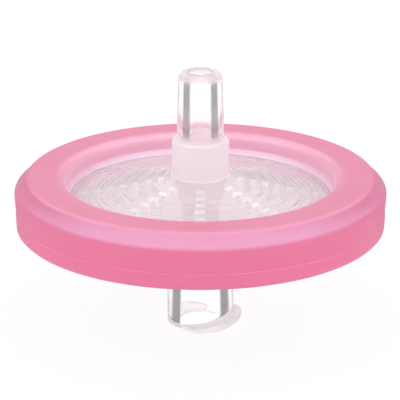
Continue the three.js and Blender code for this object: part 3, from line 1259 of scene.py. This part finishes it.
@dataclass
class SealingRing:
    """Ring moulded round both rims. Millimetres."""

    levels: Levels
    window: float = 12.1
    under_inner: float = 12.9
    under_draft: float = 0.2
    under_edge: float = 0.15
    edge_height: float = 0.75  # outlet disc's edge above the parting of the halves
    flange: float = 0.55
    wall: float = 17.12
    wall_draft: float = 0.16
    parting_rise: float = 1.55
    parting_step: float = 0.05
    parting_height: float = 0.015
    parting_edge: float = 0.03
    bottom_edge: float = 0.35
    bottom_fillet: float = 0.3
    bottom_draft: float = 0.05
    shoulder_width: float = 1.21
    shoulder_drop: float = 1.2
    shoulder_sag: float = 0.1
    shoulder_rings: Run = (0.24, 0.80, 6)  # shares of the shoulder's length
    foot_edge: float = 0.8
    brow_edge: float = 0.5
    lip_width: float = 0.35
    lip_rise: float = 0.5
    lip_edge: float = 0.3
    inner_draft: float = 0.08
    crest_edge: float = 0.8
    sink: float = 0.012  # contact with the housing, so that no air shows between them
    sectors: Sectors = Sectors(8, 32)

    def section(self) -> Section:
        """Gives the outline.

        Returns:
            The outline, from the underside's inner edge out, up and back.
        """
        lv = self.levels
        foot = (self.wall + self.wall_draft, lv.crest - self.shoulder_drop)
        brow = (foot[0] - self.shoulder_width, lv.crest)
        lip = (self.window + self.lip_width, lv.parting + self.edge_height + self.lip_rise)
        wide = self.wall + self.parting_step
        bottom = wide - self.bottom_draft
        parting = lv.ring_under + self.parting_rise
        housing, flange_top = lv.housing - self.sink, lv.parting + self.flange - self.sink
        window, floor = self.window - self.sink, lv.floor_under + self.sink
        return Section([
            Corner(self.under_inner, floor),
            Corner(self.under_inner + self.under_draft, lv.ring_under, self.under_edge),
            Corner(bottom - self.bottom_edge, lv.ring_under, self.bottom_fillet),
            Corner(bottom, lv.ring_under + self.bottom_edge, self.bottom_fillet),
            Corner(wide, parting, self.parting_edge),
            Corner(self.wall, parting + self.parting_height, self.parting_edge),
            Corner(*foot, self.foot_edge),
            *self._hollow(foot, brow),
            Corner(*brow, self.brow_edge),
            Corner(lip[0] + self.inner_draft, lv.crest, self.crest_edge),
            Corner(*lip, self.lip_edge),
            Corner(window, lv.parting + self.edge_height - self.sink),
            Corner(window, flange_top),
            Corner(housing, flange_top),
            Corner(housing, floor),
        ])

    def _hollow(self, foot: Point, brow: Point) -> list[Corner]:
        """Gives the inner points of the shoulder's shallow hollow.

        Args:
            foot: radius and height at which the shoulder starts.
            brow: radius and height at which it ends.

        Returns:
            The points, from the foot up.
        """
        run, rise = brow[0] - foot[0], brow[1] - foot[1]
        length = math.hypot(run, rise)
        corners = []
        for share in np.linspace(*self.shoulder_rings):
            depth = 4 * self.shoulder_sag * share * (1 - share) / length
            corners.append(Corner(foot[0] + run * share - depth * rise, foot[1] + rise * share + depth * run))
        return corners

    def build(self, finishes: Finishes) -> bpy.types.Object:
        """Makes the piece, in the finish of its one skin."""
        return TurnedPiece("sealing_ring_moulding", self.section(), self.sectors).mesh(finishes)


@dataclass
class SyringeFilter:
    """The whole filter: its pieces, their finishes and what they stand for."""

    recess: float = 1.1  # ring's underside to the inlet disc's, millimetres
    tip: ClearPlastic = ClearPlastic(
        "clear_tip",
        roughness=0.08,
        haze=0.04,
        through=0.3,
        painted_edge_shade=(0.50, 0.48, 0.51),
        edge_start=0.7,
        edge_haze=0.4,
        cloudy=(Cloudy(0.0222, 0.0205, 0.12), Cloudy(0.0192, 0.0180, 0.14), Cloudy(0.0231, 0.0239, 0.45)),
    )
    tube: ClearPlastic = ClearPlastic(
        "clear_tube", roughness=0.07, haze=0.02, through=0.3, painted_edge_shade=(0.80, 0.78, 0.80)
    )
    bore: ClearPlastic = ClearPlastic(
        "clear_bore", roughness=0.08, haze=0.02, through=0.3, shade=InnerShade(0.74, end=0.44)
    )
    lumen: ClearPlastic = ClearPlastic(
        "clear_lumen", roughness=0.08, haze=0.02, through=0.3, shade=InnerShade(0.72, end=0.59, under=0.0174)
    )
    clear: ClearPlastic = ClearPlastic(
        "clear_plain",
        roughness=0.14,
        haze=0.24,
        through=0.5,
        ior=1.12,  # low, so that the underside throws back little of the surroundings
        tint=(1.0, 0.96, 0.98),
        milk=(1.0, 0.94, 0.97),
    )
    # painted glints: a whiter, hazier finish where a channel cuts a ridge
    painted_glints: ClearPlastic = ClearPlastic(
        "clear_painted_glints", roughness=0.10, haze=0.72, through=0.2, milk=(1.0, 0.98, 0.99)
    )
    satin: ClearPlastic = ClearPlastic(
        "clear_satin", roughness=0.10, haze=0.24, through=0.4, ior=1.25, milk=(1.0, 0.96, 0.985)
    )
    frosted: ClearPlastic = ClearPlastic(
        "clear_frosted",
        roughness=0.42,
        haze=0.85,
        through=0.3,
        milk=(0.91, 0.83, 0.87),
        milk_roughness=0.6,
        grain=0.000012,
        cloudy=(Cloudy(0.0152, 0.0178, -0.32), Cloudy(0.0178, 0.0183, -0.35), Cloudy(0.0215, 0.0225, 0.35)),
    )
    lugs: ClearPlastic = ClearPlastic(
        "clear_lugs",
        roughness=0.12,
        haze=0.56,
        through=0.6,
        painted_edge_shade=(0.72, 0.70, 0.73),
        edge_start=0.4,
        edge_end=0.9,
        milk=(0.99, 0.97, 0.98),
        grain=0.00003,
        grain_size=0.001,
    )
    pink: PinkPlastic = PinkPlastic()
    film: MembraneFilm = MembraneFilm()

    def build(self) -> list[bpy.types.Object]:
        """Makes every piece and ties it to the frame.

        Returns:
            The pieces.
        """
        levels = Levels.from_frame(self.recess)
        inlet = InletHousing(levels).build({
            Skin.POLISHED: self.tube.build(),
            Skin.SATIN: self.lugs.build(),
            Skin.BORE: self.bore.build(),
        })
        outlet = OutletHousing(levels).build({
            Skin.POLISHED: self.tip.build(),
            Skin.FROSTED: self.frosted.build(),
            Skin.SATIN: self.satin.build(),
            Skin.BORE: self.lumen.build(),
            Skin.CLEAR: self.clear.build(),
            Skin.MARKS: self.painted_glints.build(),
        })
        membrane = Membrane(levels).build({Skin.POLISHED: self.film.build()})
        ring = SealingRing(levels).build({Skin.POLISHED: self.pink.build()})
        self._place(inlet, "inlet_housing", "clear_housing")
        self._place(membrane, "membrane", "membrane")
        self._place(outlet, "outlet_housing", "clear_housing")
        self._place(ring, "sealing_ring", "pink_ring")
        return [inlet, membrane, outlet, ring]

    @staticmethod
    def _place(piece: bpy.types.Object, node: str, slot: str) -> None:
        """Ties a piece to the frame's body.

        Args:
            piece: the piece.
            node: the node that it stands for.
            slot: not used.
        """
        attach(piece, "root")
        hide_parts(node)


# ---- Studio ----


@dataclass(frozen=True)
class Lamp:
    """A soft lamp. Metres."""

    name: str
    place: Place
    width: float  # side along X
    depth: float
    radiance: float  # of its face, where the surroundings are about 1
    aim: Place = (0.0, 0.0, 0.012)

    def hang(self) -> None:
        """Adds the lamp, turned to its aim."""
        light = bpy.data.lights.new(self.name, "AREA")
        light.shape = "RECTANGLE"
        light.size, light.size_y = self.width, self.depth
        light.energy = self.radiance * math.pi * self.width * self.depth
        made = add_object(self.name, light)
        made.location = self.place
        made.rotation_euler = (Vector(self.aim) - Vector(self.place)).to_track_quat("-Z", "Y").to_euler()


@dataclass
class Studio:
    """Pale floor, white surroundings, a soft lamp and the camera."""

    floor_size: float = 4.0
    floor_gap: float = 0.00003
    floor_paint: float = 0.90
    white: float = 1.06
    white_through: float = 1.20  # behind clear plastic, which dims it
    level_light: float = 2.25  # on the part from the horizon
    top_light: float = 0.77  # from higher up
    light_height: float = 0.6  # sine of the height where the level light ends
    gloss_level: float = 0.55  # what a gloss shows at the horizon
    gloss_top: float = 8.6
    gloss_heights: Span = (0.30, 0.78)  # sines of the heights between which it rises
    gloss_behind: float = 0.5  # share of the rise that it loses behind the filter
    behind: Span = (0.0, 0.4)  # cosines between which a direction turns to behind
    gloss_floor: float = 0.40  # what it shows of the floor in front and behind
    gloss_side: float = 0.65  # and of the floor at both sides
    side_front: Span = (-0.84, -0.72)  # cosines between which the front turns to the side
    side_back: Span = (0.3, 0.5)  # and the side to what lies behind
    floor_seen: float = 0.8  # share of the floor's white that has no shadow
    floor_lit: float = 0.4  # the same where the floor lights the part
    overhead: Lamp = Lamp("overhead", (0.0, -0.14, 0.42), width=0.50, depth=0.12, radiance=0.5)
    elevation: float = 19.08
    distance: float = 0.21518
    focal_length: float = 208.0
    clip: Span = (0.01, 10.0)
    target: Place = (-0.00004, 0.0, 0.011877)

    def world(self) -> None:
        """Makes the surroundings: white to the eye, a soft sky to a gloss, plain light on the part."""
        world = bpy.data.worlds.new("studio")
        bpy.context.scene.world = world
        graph = Graph(world)
        path = graph.node("ShaderNodeLightPath")
        direction = graph.node("ShaderNodeTexCoord")["Generated"]
        parts = graph.node("ShaderNodeSeparateXYZ", {}, {0: direction})
        back, height = parts.value("Y"), parts.value("Z")
        rise = height.ramp(0.0, self.light_height, smooth=False)
        colour = graph.mix_colours(rise, grey(self.level_light), grey(self.top_light))
        high = height.ramp(*self.gloss_heights, smooth=False)
        high = high * (1.0 - self.gloss_behind * back.ramp(*self.behind))
        sky = graph.mix_colours(high, grey(self.gloss_level), grey(self.gloss_top))
        for kind, seen in (
            ("Is Glossy Ray", sky),
            ("Is Transmission Ray", grey(self.white_through)),
            ("Is Camera Ray", grey(self.white)),
        ):
            colour = graph.mix_colours(path.value(kind), colour, seen)
        shader = graph.node("ShaderNodeBackground", {}, {"Color": colour, "Strength": 1.0})
        graph.node("ShaderNodeOutputWorld", {}, {"Surface": shader["Background"]})

    def floor(self) -> None:
        """Makes the floor, which is see-through from below."""
        data = bpy.data.meshes.new("floor")
        half = self.floor_size / 2
        level = cad_low.z - self.floor_gap
        corners = [(-half, -half, level), (half, -half, level), (half, half, level), (-half, half, level)]
        data.from_pydata(corners, [], [(0, 1, 2, 3)])
        data.materials.append(self._floor_paint())
        add_object("floor", data)

    def _floor_paint(self) -> bpy.types.Material:
        """Makes the floor's material: white to the eye, with the filter's shadow, and duller to a gloss.

        Returns:
            The material.
        """
        material = bpy.data.materials.new("floor_paint")
        graph = Graph(material)
        path = graph.node("ShaderNodeLightPath")
        through, camera = path.value("Is Transmission Ray"), path.value("Is Camera Ray")
        glow = graph.mix_colours(through, grey(self.white), grey(self.white_through))
        white = graph.node("ShaderNodeEmission", {}, {"Color": glow})["Emission"]
        paint = graph.node("ShaderNodeBsdfDiffuse", {}, {"Color": grey(self.floor_paint)})["BSDF"]
        share = self.floor_lit + (self.floor_seen - self.floor_lit) * through.either(camera)
        seen = graph.mix_shaders(share, paint, white)
        parts = graph.node("ShaderNodeSeparateXYZ", {}, {0: graph.node("ShaderNodeTexCoord")["Object"]})
        x, y = parts.value("X"), parts.value("Y")
        ahead = y / (x * x + y * y).root()
        beside = ahead.ramp(*self.side_front) * (1.0 - ahead.ramp(*self.side_back))
        sheen = graph.mix_colours(beside, grey(self.gloss_floor), grey(self.gloss_side))
        sheen = graph.node("ShaderNodeEmission", {}, {"Color": sheen})["Emission"]
        seen = graph.mix_shaders(path.value("Is Glossy Ray") * (1.0 - through), seen, sheen)
        clear = graph.node("ShaderNodeBsdfTransparent")["BSDF"]
        back = graph.node("ShaderNodeNewGeometry").value("Backfacing")
        graph.node("ShaderNodeOutputMaterial", {}, {"Surface": graph.mix_shaders(back, seen, clear)})
        return material

    def camera(self) -> None:
        """Adds the camera, in front of the filter and above it."""
        data = bpy.data.cameras.new("camera")
        data.lens = self.focal_length
        data.clip_start, data.clip_end = self.clip
        made = add_object("camera", data)
        rise = math.radians(self.elevation)
        back = Vector((0.0, -math.cos(rise), math.sin(rise)))
        made.location = Vector(self.target) + back * self.distance
        made.rotation_euler = (-back).to_track_quat("-Z", "Y").to_euler()
        bpy.context.scene.camera = made

    def build(self) -> None:
        """Makes the studio."""
        bpy.context.scene.view_settings.view_transform = "Standard"
        self.world()
        self.floor()
        self.overhead.hang()
        self.camera()


def main() -> None:
    """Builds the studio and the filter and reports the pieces."""
    logging.basicConfig(level=logging.INFO, format="%(name)s: %(message)s")
    Studio().build()
    for piece in SyringeFilter().build():
        log.info("%s: %d faces", piece.name, len(piece.data.polygons))


if __name__ == "__main__":
    main()
